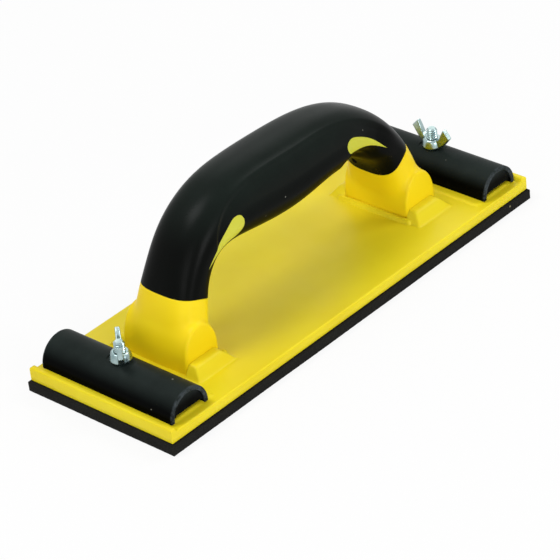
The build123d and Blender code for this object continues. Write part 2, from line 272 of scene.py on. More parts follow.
def hollow_depth_at(x, turned):
    """Depth of the hollow beneath the rear teardrops: it starts at a slanting edge and ends underneath."""
    edge, last = np.radians(108 - 0.62 * (x - 34)), np.radians(138)
    under = smooth_step((turned - edge) / np.radians(22))
    under *= 1 - smooth_step((turned - last) / np.radians(40))
    return hollow_depth * under * smooth_step((x - 27.5) / 5) * (1 - smooth_step((x - 46) / 11))


# %% [markdown]
# ## Points of the skin
# The radius, the panel and the hollow together give the distance from the spine to the skin. A point of the
# skin follows by going out that far from the spine: along the spine's own outward direction and across in Y.

# %% Skin


def skin_radius(place, direction):
    """Distance from the spine to the skin: the squared ellipse, less the side panel and the hollow."""
    depth, width, square = (spine_at(place, spine[:, k]) for k in (2, 3, 4))
    out, side = np.abs(np.cos(direction)) / depth, np.abs(np.sin(direction)) / width
    radius = (out**square + side**square) ** (-1 / square)
    turned = np.abs((direction + np.pi) % (2 * np.pi) - np.pi)
    x = spine_at(place, spine[:, 0])
    return radius - panel_depth_at(x, turned) - hollow_depth_at(x, turned)


def over_skin(place, out, y):
    """How far a point lies over the skin, out and y being its place across the spine."""
    return np.hypot(out, y) - skin_radius(place, np.arctan2(y, out))


def skin_point(place, direction, lift=0.0):
    """Point of the skin at a place and direction, raised by lift along the radius."""
    radius = skin_radius(place, direction) + lift
    out, side = radius * np.cos(direction), radius * np.sin(direction)
    x = spine_at(place, spine[:, 0]) + out * spine_at(place, outward[:, 0])
    z = spine_at(place, spine[:, 1]) + out * spine_at(place, outward[:, 1])
    return np.stack([x, side, z], axis=-1)


# %% [markdown]
# ## Where black meets yellow
# The soft grip is moulded over the yellow core, and it stops on a clean arched line on each leg. Seen from
# the side the line is part of a circle, so a point is on the grip's side of it when it lies outside that
# circle. Halving the interval again and again finds the line for every direction at once.

# %% Colour lines
front_line = np.array([(-57.0, 31.5), (-65.0, 37.3), (-80.0, 40.6)])
rear_line = np.array([(56.4, 31.4), (63.1, 39.6), (79.3, 45.3)])


def circle_through(points):
    """Centre and radius of the circle through three points: equal distances give two linear equations."""
    matrix = 2 * (points[1:] - points[0])
    right = (points[1:] ** 2).sum(axis=1) - (points[0] ** 2).sum()
    centre = np.linalg.solve(matrix, right)
    return centre, np.hypot(*(points[0] - centre))


def above_line(x, z, line):
    """How far a point lies on the grip's side of a colour line, in mm."""
    centre, radius = circle_through(line)
    return np.hypot(x - centre[0], z - centre[1]) - radius


def where_true(test, low, high, shape):
    """Places from low to high where the test turns positive, an array of that shape, found by halving."""
    low, high = np.full(shape, low), np.full(shape, high)
    for _ in range(34):
        middle = (low + high) / 2
        positive = test(middle) > 0
        low, high = np.where(positive, low, middle), np.where(positive, middle, high)
    return (low + high) / 2


def line_place(direction, line, low, high):
    """Place along the spine where the skin crosses a colour line, in each direction; low is on yellow."""

    def test(place):
        point = skin_point(place, direction)
        return above_line(point[..., 0], point[..., 2], line)

    return where_true(test, low, high, direction.shape)


# %% [markdown]
# ## Teardrop lands
# Four yellow teardrops of the core stand flush in windows of the grip. Each outline is drawn in side view and
# closed with a corner at its tip. The land is a strip between the outline's upper and lower edges, carried
# out to the handle's skin, with a small rounded lip, and its rim is tucked under the black.

# %% Teardrop outlines
front_teardrop = np.array([
    (-60.2, 49.0), (-55.9, 53.4), (-50.7, 58.3), (-45.6, 62.0), (-41.2, 64.3),
    (-38.0, 63.4), (-37.3, 59.2), (-40.4, 55.8), (-46.4, 54.6), (-53.0, 52.6), (-60.2, 49.0),
])
rear_teardrop = np.array([
    (54.7, 49.5), (49.6, 55.1), (43.4, 59.9), (37.1, 63.2), (32.5, 64.1),
    (30.2, 61.6), (31.2, 58.1), (35.8, 56.6), (41.4, 55.8), (48.0, 53.5), (54.7, 49.5),
])


def outline_curve(points):
    """A curve's knots, points and slopes; its first and last slopes follow the chords there."""
    lengths = chord_lengths(points)
    first = (points[1] - points[0]) / lengths[1]
    last = (points[-1] - points[-2]) / (lengths[-1] - lengths[-2])
    return lengths, points, spline_slopes(lengths, points, first, last)


def in_side_view(flat_points, y):
    """Points drawn in side view as (x, z), set at their places across."""
    return np.stack([flat_points[:, 0], y, flat_points[:, 1]], axis=-1)


def smooth_run(points, count):
    """A smooth run through a few points, as count points evenly spaced along it."""
    curve = outline_curve(np.array(points, float))
    return spline_points(*curve, np.linspace(0, curve[0][-1], count))


def inside_outline(x, z, points):
    """Distance inside a closed outline, negative outside: nearest edge, signed by how often a ray crosses."""
    edge = smooth_run(points, 181)
    start, run = edge[:-1], np.diff(edge, axis=0)
    offset_x, offset_z = x[:, None] - start[:, 0], z[:, None] - start[:, 1]
    share = np.clip((offset_x * run[:, 0] + offset_z * run[:, 1]) / (run**2).sum(axis=1), 0, 1)
    nearest = np.hypot(offset_x - share * run[:, 0], offset_z - share * run[:, 1]).min(axis=1)
    crosses = (offset_z < 0) != (offset_z - run[:, 1] < 0)
    ray = offset_x - run[:, 0] * offset_z / np.where(run[:, 1] == 0, 1e-9, run[:, 1])
    odd = (crosses & (ray < 0)).sum(axis=1) % 2 == 1
    return np.where(odd, nearest, -nearest)


def nearest_place(x, z):
    """Place along the spine nearest to a point in side view, and how far outward of it the point is."""
    distance = (x[:, None] - spine[:, 0]) ** 2 + (z[:, None] - spine[:, 1]) ** 2
    near = distance.argmin(axis=1)
    out = (x - spine[near, 0]) * outward[near, 0] + (z - spine[near, 1]) * outward[near, 1]
    return along[near], out


def skin_flank(x, z, lift):
    """How far out in Y the skin lies behind a point in side view, raised by lift."""
    place, out = nearest_place(x, z)
    return where_true(lambda y: over_skin(place, out, y) - lift, 0.0, 25.0, x.shape)


# %% [markdown]
# ## The grip
# The grip is one skin from colour line to colour line. Its columns start and end exactly on those lines, its
# rim rolls in a little as an overmould's edge does, and the skin dips under each teardrop so that the yellow
# shows through. A small round pit under the rear end is where the mould was filled. The grid is packed
# closer round that pit, because a hole of about 2.4 mm needs points a quarter of a millimetre apart.

# %% The grip's grid
gate_y, gate_z, gate_beneath = 5.9, 36.2, 8.6
middle_place = knots[6]
gate_direction = np.pi - np.arctan2(gate_y, gate_beneath)
directions = crowded(-np.pi, np.pi, 230, [(gate_direction, 0.09, 4.0)])[:-1]
grip_start = line_place(directions, front_line, 2.0, middle_place)
grip_end = line_place(directions, rear_line, knots[-1] - 2.0, middle_place)


def below_gate(place):
    """How far the skin lies below the pit's height, in the pit's direction."""
    return gate_z - skin_point(place, np.array([gate_direction]))[:, 2]


gate_place = float(where_true(below_gate, knots[9], knots[-1] - 5.0, 1)[0])
gate_column = np.abs(directions - gate_direction).argmin()
gate_share = (gate_place - grip_start[gate_column]) / (grip_end - grip_start)[gate_column]
shares = crowded(0.0, 1.0, 360, [(gate_share, 0.006, 5.0), (0.0, 0.01, 1.5), (1.0, 0.01, 1.5)])
place_grid = grip_start + (grip_end - grip_start) * shares[:, None]
direction_grid = np.broadcast_to(directions, place_grid.shape)
flat = skin_point(place_grid, direction_grid).reshape(-1, 3)

# %% [markdown]
# ## Windows, pit and rolled edge
# Three things are taken off the plain skin. The windows go down under each teardrop, where a point's
# distance inside the outline says how deep. The pit goes down inside its radius. The roll is a quarter of a
# circle, squashed, over the last half millimetre at each colour line.

# %% Build the grip
window_depth, window_slope = 0.9, 0.7
gate_depth, gate_radius, gate_slope = 2.0, 1.1, 0.35
roll_depth, roll_width = 0.28, 0.5
dip = np.zeros(place_grid.size)
side_view = flat[:, [0, 2]]
for outline in (front_teardrop, rear_teardrop):
    low, high = outline.min(axis=0) - 1, outline.max(axis=0) + 1
    near = ((side_view > low) & (side_view < high)).all(axis=1) & (np.abs(flat[:, 1]) > 8)
    inside = inside_outline(flat[near, 0], flat[near, 2], outline)
    dip[near] = window_depth * smooth_step((inside - 0.25) / window_slope)
gate_distance = np.hypot(flat[:, 1] - gate_y, flat[:, 2] - gate_z)
gate_dip = gate_depth * (1 - smooth_step((gate_distance - gate_radius) / gate_slope))
under = (flat[:, 0] > 50) & (np.abs(direction_grid.ravel()) > 2.0)
dip += np.where(under, gate_dip, 0)
edge_near = np.minimum(place_grid - grip_start, grip_end - place_grid)
roll = roll_depth * (1 - np.sqrt(1 - np.clip(1 - edge_near / roll_width, 0, 1) ** 2))
surface = skin_point(place_grid, direction_grid, -dip.reshape(place_grid.shape) - roll)


def pole(ring):
    """A ring shrunk to its middle, which closes the shell."""
    return np.broadcast_to(ring.mean(axis=1, keepdims=True), ring.shape)


front_edge, rear_edge = (
    [skin_point(place, directions, -tucked_in)[None] for tucked_in in (0.7, 2.4)]
    for place in (grip_start, grip_end)
)
grip_rings = [*front_edge[::-1], surface, *rear_edge]
grip_rows = np.concatenate([pole(grip_rings[0]), *grip_rings, pole(grip_rings[-1])])
grip = make_piece("grip_skin", [grid_shell(grip_rows)], "block", 50, ["grip"])

# %% [markdown]
# ## Filling the windows
# A land crosses its window in seven steps from each edge to the middle. They rise from under the black,
# round a small lip and end a hair proud of the grip. Rows stand closer at the tip and at the head, where
# the outline turns sharply, and both ends shrink to one point.

# %% Build the teardrop lands


def teardrop_land(points, head, side, count=70):
    """A closed land: rows run from tip to head, and columns go over its section and back below."""
    curve = outline_curve(points)
    t = np.concatenate([[0], 0.5 - 0.5 * np.cos(np.pi * np.linspace(0.04, 0.96, count - 2)), [1]])
    whole = curve[0][-1]
    upper, lower = spline_points(*curve, t * head), spline_points(*curve, whole - t * (whole - head))
    width = np.maximum(np.hypot(*(upper - lower).T), 1e-6)
    lip = np.minimum(0.3 / width, 0.35)
    rows = [(np.zeros(count), -0.7), (np.zeros(count), -0.1), (lip * 0.45, 0.06), (lip, 0.1)]
    rows += [(np.maximum(share, lip), lift) for share, lift in ((0.25, 0.12), (0.4, 0.13), (0.5, 0.13))]
    section = rows + [(1 - inset, lift) for inset, lift in rows[-2::-1]] + [(np.full(count, 0.5), -0.7)]
    grid = []
    for inset, lift in section:
        flat_point = upper + (lower - upper) * inset[:, None]
        grid.append(in_side_view(flat_point, side * skin_flank(*flat_point.T, lift)))
    grid = np.stack(grid, axis=1)
    grid[[0, -1]] = grid[[0, -1]].mean(axis=1, keepdims=True)
    return grid_shell(grid)


def head_length(points):
    """Length along the outline to halfway between its two middle corners, where the head is roundest."""
    return chord_lengths(points)[5:7].mean()


lands = [
    make_piece(
        f"{end}_teardrop_{flank}",
        [teardrop_land(outline, head_length(outline), side)], "block", 60,
    )
    for end, outline in (("front", front_teardrop), ("rear", rear_teardrop))
    for flank, side in (("near", -1), ("far", 1))
]

# %% [markdown]
# ## Legs and feet
# Each yellow leg flows into a foot with a flat, arch-topped cheek on both sides. The shape is easiest to say
# as distances: the distance to the leg, the distance to the arched block, and a smooth blend of the two,
# which fills the crease between them like a mould fillet. Rays go out and up from the leg's axis, and halving
# finds where each one leaves the plastic. Rays that rise meet the tops of the cheeks as well as their sides.

# %% Distance to the leg and foot
foot_half_length, foot_half_width, spring = 9.75, 18.0, 16.1
blend, slimmer, tuck_edge, tuck = 2.5, 0.75, 0.45, 2.4
feet = {
    "front": dict(x=front_foot_x, rise=13.9, line=front_line, places=slice(0, 900)),
    "rear": dict(x=rear_foot_x, rise=14.5, line=rear_line, places=slice(-900, None)),
}


def leg_distance(x, y, z, foot):
    """Radial distance to the leg's skin, from the nearest place on the spine, found in a few steps."""
    table = foot["places"]
    heights, places = spine[table, 1], along[table]
    order = np.argsort(heights)
    place = np.interp(z, heights[order], places[order])

    def offset(place, direction):
        """How far the point lies from a place of the spine in one of its directions: the X and the Z part."""
        off_x, off_z = x - spine_at(place, spine[:, 0]), z - spine_at(place, spine[:, 1])
        return off_x * spine_at(place, direction[:, 0]), off_z * spine_at(place, direction[:, 1])

    for _ in range(4):
        step_x, step_z = offset(place, heading)
        place = np.clip(place + step_x + step_z, 0, along[-1])
    out = sum(offset(place, outward))
    return over_skin(place, out, y) + slimmer * smooth_step((26.0 - z) / 10.0)


def arch_distance(x, y, z, foot, edge=1.1):
    """Distance to the arched block: an ellipse-topped side view, carried across in Y, with rounded edges."""
    off_x, height = (x - foot["x"]) / foot_half_length, np.maximum(z - spring, 0) / foot["rise"]
    reach = np.maximum(np.hypot(off_x, height), 1e-6)
    slope = np.hypot(off_x / foot_half_length, height / foot["rise"])
    in_view = (reach - 1) * reach / np.maximum(slope, 1e-6) + edge
    across = np.abs(y) - foot_half_width + edge
    corner = np.hypot(np.maximum(in_view, 0), np.maximum(across, 0))
    return np.minimum(np.maximum(in_view, across), 0) + corner - edge


def foot_distance(x, y, z, foot):
    """The leg and the block blended over a short reach, and taken in a hair beneath the grip."""
    leg, arch = leg_distance(x, y, z, foot), arch_distance(x, y, z, foot)
    share = np.clip(0.5 + 0.5 * (arch - leg) / blend, 0, 1)
    both = arch + (leg - arch) * share - blend * share * (1 - share)
    above = above_line(x, z, foot["line"])
    return both + tuck_edge * smooth_step(above / 0.5 + 0.5) + tuck * smooth_step((above - 1.2) / 1.5)


# %% [markdown]
# ## Rays that find the leg's skin
# The lowest rays end just inside the plate, so that the leg is sunk into it and no gap shows. They start
# lower still, because each ray rises as far as it goes out. Both ends of the shell shrink to a point: the
# lower one is inside the plate and the upper one inside the grip.

# %% Build the legs
sunk, ray_top = 0.3, 33.0
ray_start, ray_end = 2.0, 32.0


def leg_shell(foot, rows=150, columns=300):
    """Rays from the axis: at the plate they are aimed to end on it, and higher up they rise at 45 degrees."""
    direction = full_turn(columns)
    turn_x, turn_y = np.cos(direction), np.sin(direction)
    floor = plate_top - sunk
    table = foot["places"]
    order = np.argsort(spine[table, 1])
    heights, middles = spine[table, 1][order], spine[table, 0][order]

    def flat_ray(reach):
        return foot_distance(foot["x"] + reach * turn_x, reach * turn_y, np.full_like(reach, floor), foot)

    base = where_true(flat_ray, ray_start, ray_end, columns)
    start = floor - base + (ray_top - floor + base) * np.linspace(0, 1, rows)[:, None] ** 0.9
    axis_x = np.interp(np.maximum(start, floor), heights, middles)

    def rising_ray(reach):
        return foot_distance(axis_x + reach * turn_x, reach * turn_y, start + reach, foot)

    reach = where_true(rising_ray, ray_start, ray_end, start.shape)
    skin = np.stack([axis_x + reach * turn_x, reach * turn_y, start + reach], axis=-1)
    return grid_shell(np.concatenate([pole(skin[:1]), skin, pole(skin[-1:])]))


legs = {
    end: make_piece(f"{end}_leg", [leg_shell(foot)], "block", 60, ["handle_core"])
    for end, foot in feet.items()
}

# %% [markdown]
# ## Base plate
# The plate is a moulding seen from above, so its top is a height for each x and y: a flat sheet, thicker pads
# under the clamps, a lip along each short end, a pedestal beside each cheek of the feet and a low rib in
# front of them. Each feature rises over a short distance by the same S-shaped step, which leaves the small
# radii that a mould leaves. The long edges are rounded.

# %% Height of the plate's top
plate_low, plate_high = millimetres("base_plate")
plate_half_x, plate_half_y = plate_high[:2]
plate_bottom, pad_rise = plate_low[2], 0.6
rim_rise, cheek_height, ledge_rise = pad_rise + 1.2, 5.5, 2.0
ledge_off = 11.0
bolt_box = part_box("front_bolt")
clamp_x = float((bolt_box[0][0] + bolt_box[1][0]) / 2 / -MM)


def soft_box(x, y, half_x, half_y, rise, corner):
    """One inside a box and zero outside it, stepping up over the last rise mm, with rounded corners."""
    in_x, in_y = half_x - np.abs(x), half_y - np.abs(y)
    short = np.hypot(np.minimum(in_x - corner, 0), np.minimum(in_y - corner, 0))
    in_corner = (in_x < corner) & (in_y < corner)
    return smooth_step(np.where(in_corner, corner - short, np.minimum(in_x, in_y)) / rise)


def soft_least(values, reach):
    """The least of several values, rounded where two are nearly equal."""
    return -reach * np.log(sum(np.exp(np.minimum(-value / reach, 300)) for value in values))


def cheek_rise(off_x, out_y):
    """A cheek's height from 0 to 1: flat facets that fall to both ends and outwards and meet softly."""
    inner_end, outer_end, side = (off_x + 11.4) / 2.9, (11.6 - off_x) / 4.8, (26.1 - out_y) / 4.2
    rise = soft_least([inner_end, outer_end, side, np.ones_like(side)], 0.10)
    toe = 0.06 * np.log1p(np.exp(np.clip(rise / 0.06, -60, 60)))
    return np.clip(toe, 0, 1) * smooth_step((out_y - 17.2) / 0.9)


def plate_height(x, y):
    """Height of the top in mm: the highest of the plate and the features standing on it."""
    top = np.full(x.shape, plate_top)
    pad = smooth_step((np.abs(x) - 86.1) / 1.6) * smooth_step((plate_half_y - 3.6 - np.abs(y)) / 2.2)
    top += pad_rise * pad
    top = np.maximum(top, plate_top + rim_rise * smooth_step((np.abs(x) - 113.1) / 1.7))
    for end, side in ENDS:
        off_x = x - feet[end]["x"]
        top = np.maximum(top, plate_top + cheek_height * cheek_rise(off_x, np.abs(y)))
        ledge = soft_box(off_x + side * ledge_off, y, 1.4, 21.0, 0.8, 1.3)
        top = np.maximum(top, plate_top + ledge_rise * ledge)
    return top


# %% [markdown]
# ## Plate as a closed shell
# The grid lines stand closer where the top changes height, and the outer seven make the rounded edge. The
# border of the top is carried down as walls, turned in under the plate and closed along its middle line.

# %% Build the plate
edge_radius = 0.9
edge_lines = np.array([0.0, 0.04, 0.14, 0.3, 0.5, 0.7, 0.9])


def plate_lines(half, count, places):
    """Grid lines from one edge to the other: a few close ones for the rounded edge, and the rest by need."""
    middle = crowded(-half + 1.2, half - 1.2, count, places)
    return np.concatenate([-half + edge_lines, middle, (half - edge_lines)[::-1]])


x_places = [(foot["x"] + side * ledge_off, 2.4, 2.2) for foot in feet.values() for side in (-1, 1)]
x_places += [(side * place, 1.6, 2.4) for side in (-1, 1) for place in (86.9, 113.9)]
y_reaches = ((18, 1.5), (25.5, 3), (36, 1.5))
y_places = [(side * place, reach, 1.6) for side in (-1, 1) for place, reach in y_reaches]
x_lines = plate_lines(plate_half_x, 400, x_places)
y_lines = plate_lines(plate_half_y, 150, y_places)
plate_x, plate_y = np.meshgrid(x_lines, y_lines, indexing="ij")
from_edge = np.minimum(plate_half_x - np.abs(plate_x), plate_half_y - np.abs(plate_y))
into_edge = np.clip(edge_radius - from_edge, 0, None)
drop = edge_radius - np.sqrt(np.maximum(edge_radius**2 - into_edge**2, 0))
top_grid = np.stack([plate_x, plate_y, plate_height(plate_x, plate_y) - drop], axis=-1)


def boundary(grid):
    """The points round a grid's border, in order."""
    return np.concatenate([grid[:-1, 0], grid[-1, :-1], grid[:0:-1, -1], grid[0, :0:-1]])


def shrunk(ring, inset, height, half):
    """A border moved in by an inset at a height. At half the width it falls on the middle line."""
    x, y = (np.clip(ring[:, k], -(half[k] - inset), half[k] - inset) for k in (0, 1))
    return np.stack([x, y, np.full(len(ring), height)], axis=-1)


border = boundary(top_grid)
wall_profile = [(0, 2.4), (0, 0.3), (0.1, 0.1), (0.3, 0), (14, 0), (28, 0), (plate_half_y, 0)]
walls = [shrunk(border, inset, plate_bottom + height, plate_high) for inset, height in wall_profile]
plate_shell = joined(grid_shell(top_grid, False), grid_shell(np.stack([border] + walls)))
plate = make_piece("plate", [plate_shell], "block", 50, ["base_plate"])

# %% [markdown]
# ## Foam pad
# The pad is a cut sheet of closed-cell foam. A blade leaves its edge slightly wavy and pitted, and its top
# arris a little soft. Rings round the sheet carry a small profile: in from under the plate, out over the
# arris, down the cut edge and back under. Sums of sines with unrelated periods make the waviness, so that
# nothing is random and every run gives the same pad.

# %% Build the foam pad
foam_half_x, foam_half_y, foam_top = foam_half = millimetres("foam_pad")[1]
ring_step, foam_clearance = 0.45, 0.12


def waviness(distance, height):
    """How far the cut edge wanders, in mm: slow waves and small pits along its length and height."""
    slow = 0.06 * np.sin(distance / 23.7) + 0.04 * np.sin(distance / 9.1 + 1.3)
    pits = np.sin(distance * 2.9 + 2.1 * height) * np.sin(distance * 1.37 - 3.3 * height) * 0.05
    return slow + pits


def foam_ring(inset, height):
    """One ring of the pad: its outline moved in by the inset, and roughened at its cut edge."""
    x_side = np.linspace(-foam_half_x, foam_half_x, int(2 * foam_half_x / ring_step))
    y_side = np.linspace(-foam_half_y, foam_half_y, int(2 * foam_half_y / ring_step))
    ring = boundary(np.stack(np.meshgrid(x_side, y_side, indexing="ij"), axis=-1))
    distance = np.arange(len(ring)) * ring_step
    rough = foam_clearance + waviness(distance, height) if inset < 1 else np.zeros(len(ring))
    return shrunk(ring, inset + rough, height, foam_half)


foam_profile = [(inset, foam_top) for inset in (foam_half_y, 26, 9, 1.6, 0.55)]
foam_profile += [(0.25, foam_top - 0.08), (0.07, foam_top - 0.28), (0, foam_top - 0.7)]
foam_profile += [(0, height) for height in (4.0, 3.5, 3.0, 2.5, 2.0, 1.5, 1.0, 0.5)]
foam_profile += [(0.1, 0.18)] + [(inset, 0.0) for inset in (0.35, 1.6, 9, 26, foam_half_y)]
foam_rows = np.stack([foam_ring(inset, height) for inset, height in foam_profile])
foam = make_piece("foam_sheet", [grid_shell(foam_rows)], "block", 60, ["foam_pad"])

# %% [markdown]
# ## Clamps
# A clamp is a half-round shell of black plastic with a web set just inside each end and a tube round the
# bolt. The shell's wall is a long rounded rectangle in section, carried round the half circle from foot to
# foot. Where the bolt goes through, the grid lines are bent from squares into circles, so the shallow seat
# under the nut has a clean round edge.

# %% The clamp's sizes
clamp_bottom = plate_top + pad_rise
clamp_radius, clamp_half = 10.9, millimetres("front_clamp")[1][1]
wall, skirt, seat_depth, seat_radius, bore = 2.0, 0.9, 0.5, 6.5, 2.5
arc_z = clamp_bottom + skirt
half_arc = np.pi / 2 * clamp_radius


def squares_to_circles(a, b, full, fade):
    """Bends grid lines near the origin: a square of half size s becomes a circle of radius s."""
    square = np.maximum(np.abs(a), np.abs(b))
    round_part = np.hypot(a, b)
    scale = np.where(round_part > 1e-9, square / np.maximum(round_part, 1e-9), 1.0)
    share = 1 - smooth_step((square - full) / (fade - full))
    factor = 1 + (scale - 1) * share
    return a * factor, b * factor


def on_arch(arc, y, depth):
    """A point at a length along the half circle from its crown, a place in Y and a depth below the skin."""
    turn = np.clip(arc, -half_arc, half_arc) / clamp_radius
    below = np.maximum(np.abs(arc) - half_arc, 0)
    radius = clamp_radius - depth
    return np.stack([radius * np.sin(turn), y, arc_z + radius * np.cos(turn) - below], axis=-1)


# %% [markdown]
# ## The clamp's wall
# In section the wall has a rounded edge outside at each end and a small chamfer inside. Only the outer skin
# takes the seat under the nut: inside the seat's radius its height is held down to a flat.

# %% Build the clamp's wall
end_corner, chamfer_inside = 0.45, 0.2
round_within, straight_beyond = 6.8, 9.5


def wall_section():
    """The wall's section as rows of (place in Y, depth below the skin), out along it and back inside."""
    y_run = crowded(-clamp_half + 0.7, clamp_half - 0.7, 171, [(0, 8.0, 3.0)])
    turn = np.linspace(0, np.pi / 2, 6)[:-1]
    end_y, end_depth = end_corner * (1 - np.sin(turn)), end_corner * (1 - np.cos(turn))
    soft_end = list(zip(end_y[::-1], end_depth[::-1]))
    outer = [(-clamp_half + y, depth + 0.001) for y, depth in soft_end]
    outer += [(y, 0.0) for y in y_run]
    outer += [(clamp_half - y, depth + 0.001) for y, depth in soft_end[::-1]]
    inside_end = [(clamp_half, end_corner + 0.3), (clamp_half, wall - chamfer_inside)]
    inside_end += [(clamp_half - chamfer_inside, wall)]
    inner = inside_end + [(y, wall) for y in y_run[::-10]] + [(-y, depth) for y, depth in inside_end[::-1]]
    return np.array(outer + inner)


def clamp_wall_shell():
    """The wall: rows run along the arch from foot to foot, columns round the wall's section."""
    arc, section = crowded(-half_arc - skirt, half_arc + skirt, 121, [(0, 7.0, 2.2)]), wall_section()
    arc_grid, y_grid = np.meshgrid(arc, section[:, 0], indexing="ij")
    depth = np.broadcast_to(section[:, 1], arc_grid.shape)
    bent_arc, bent_y = squares_to_circles(arc_grid, y_grid, round_within, straight_beyond)
    on_skin = depth == 0
    arc_used, y_used = np.where(on_skin, bent_arc, arc_grid), np.where(on_skin, bent_y, y_grid)
    points = on_arch(arc_used, y_used, depth)
    seat = np.hypot(points[..., 0], points[..., 1]) < seat_radius
    seat_z = arc_z + clamp_radius - seat_depth
    points[..., 2] = np.where(on_skin & seat, np.minimum(points[..., 2], seat_z), points[..., 2])
    ends = [points[:1], points[-1:]]
    middles = [(end.min(axis=1, keepdims=True) + end.max(axis=1, keepdims=True)) / 2 for end in ends]
    caps = [np.broadcast_to(middle, end.shape) for end, middle in zip(ends, middles)]
    return grid_shell(np.concatenate([caps[0], points, caps[1]]))


# %% [markdown]
# ## The clamp's ends and tube
# A web closes each end a millimetre inside the rim, and a tube round the bolt stiffens the shell. Each is a
# closed shell that overlaps the wall a little. On the real clamp it is all one moulding.

# %% Build the clamps
web_inset, web_thickness, web_middle = 1.0, 2.0, 4.0
web_profile = [(0, 0.10), (0.5, 0.08), (0.85, 0.03), (0.96, 0), (1, 0.12), (1, web_thickness - 0.1)]
web_profile += [(0.97, web_thickness), (0.5, web_thickness), (0, web_thickness)]


def half_disc(radius, foot, count=72):
    """Outline of the opening inside the wall: a half circle on short legs, closed along its bottom."""
    turn = np.linspace(-np.pi / 2, np.pi / 2, count)
    arc = np.stack([radius * np.sin(turn), arc_z + radius * np.cos(turn)], axis=1)
    bottom_x = np.linspace(radius, -radius, count // 2)
    bottom = np.stack([bottom_x, np.full(len(bottom_x), foot)], axis=1)
    return np.concatenate([arc, bottom])


def web_shell(side):
    """An end web: its outline shrinks to a middle point on both faces, with a small soft edge."""
    outline = half_disc(clamp_radius - wall + 0.3, clamp_bottom + 2.0)
    centre, rows = np.array([0.0, arc_z + web_middle]), []
    for share, inward in web_profile:
        flat_ring = centre + (outline - centre) * share
        y = np.full(len(outline), side * (clamp_half - web_inset - inward))
        rows.append(in_side_view(flat_ring, y))
    return grid_shell(np.stack(rows))


def turned_shell(profile, columns=64):
    """A lathe shape: each (radius, height) goes once round the Z axis. A radius may change with direction."""
    turn = full_turn(columns, 0.0)
    rings = [(r * np.cos(turn), r * np.sin(turn), np.full(columns, h)) for r, h in profile]
    return grid_shell(np.moveaxis(np.array(rings), 1, -1))


def moved(shell, x, z=0.0):
    """The shell carried along X and Z to its place."""
    return shell[0] + np.array([x, 0.0, z]), shell[1]


tube_top = arc_z + clamp_radius - 1.2
tube = [(bore, clamp_bottom), (4.6, clamp_bottom), (4.8, clamp_bottom + 0.2)]
tube += [(4.8, tube_top), (bore, tube_top), (bore, clamp_bottom)]
clamp_shells = [clamp_wall_shell(), web_shell(-1), web_shell(1), turned_shell(tube)]
clamps = {
    end: make_piece(
        f"{end}_clamp_shell",
        [moved(shell, side * clamp_x) for shell in clamp_shells],
        f"{end}_clamp_body", 38, [f"{end}_clamp"],
    )
    for end, side in ENDS
}

# %% [markdown]
# ## Bolts
# Each carriage bolt has a domed head and a square neck in the plate, and a 24-to-the-inch thread above.
# A thread is a ridge that climbs by one pitch in each turn, so the radius depends on height minus that climb:
# it runs from root to crest and back once per pitch. The end is cut to a short cone.

# %% Build the bolts
pitch, bolt_radius, bolt_top = 1.0583, 2.4, float(millimetres("front_bolt")[1][2])
thread_depth, chamfer = 0.56, 0.79
head_top, head_radius, dome_rise, neck_height = 7.8, 5.5, 1.5, 2.0


def thread_radius(turn, height):
    """Radius of a right-hand thread: a flat-topped V wave of height less the climb, cut by the end cone."""
    phase = (height / pitch - turn / (2 * np.pi)) % 1.0
    wave = np.clip(1.25 * np.abs(2 * phase - 1) - 0.1, 0, 1)
    radius = bolt_radius - thread_depth * (1 - wave)
    cone = bolt_radius - np.clip(height - (bolt_top - chamfer), 0, None)
    return np.minimum(radius, cone)


def bolt_shell(columns=72):
    """Rows from the head's crown up: dome, underside, square neck, thread, end cone and cap."""
    turn, dome = full_turn(columns, 0.0), (0, 1.5, 3, 4.2, 5.0, 5.4)
    rows = [(r, head_top - 0.8 - dome_rise * (1 - (r / head_radius) ** 2)) for r in dome]
    rows += [(head_radius, head_top - 0.7), (head_radius, head_top - 0.1), (head_radius - 0.1, head_top)]
    square = bolt_radius / np.maximum(np.abs(np.cos(turn)), np.abs(np.sin(turn)))
    neck = np.minimum(square, bolt_radius * 1.3)
    rows += [(neck, head_top), (neck, head_top + 1.9), (neck - 0.1, head_top + neck_height)]
    heights = np.arange(head_top + (neck_height + 0.05), bolt_top, pitch / 16)
    rows += [(thread_radius(turn, height), height) for height in heights]
    rim = np.minimum(thread_radius(turn, bolt_top), bolt_radius - chamfer)
    return turned_shell(rows + [(rim, bolt_top), (0, bolt_top)], columns)


bolts = {
    end: make_piece(
        f"{end}_bolt_thread", [moved(bolt_shell(), side * clamp_x)],
        "block", 35, [f"{end}_bolt"],
    )
    for end, side in ENDS
}

# %% [markdown]
# ## Wing nuts
# A wing nut is forged or cast: a coned hub and two slabs that flow out of it with every edge soft. Separate
# crisp slabs would look machined. So the hub and wings are laid out as overlapping shells, then a fine voxel
# remesh makes one skin of them and a few rounds of smoothing soften it, much as tumbling does.

# %% Build the wing nuts
nut_bottom = float(millimetres("front_wing_nut")[0][2])
parked = {"front": 47, "rear": 84}
voxel, smoothings = 0.16, 6
hub_profile = [(0, 0), (4.0, 0), (4.15, 0.15), (4.75, 1.15), (4.85, 1.45), (4.8, 1.8), (4.55, 3.0)]
hub_profile += [(4.3, 3.9), (3.9, 4.55), (3.4, 4.95), (2.8, 5.0), (2.2, 4.5), (0, 4.5)]


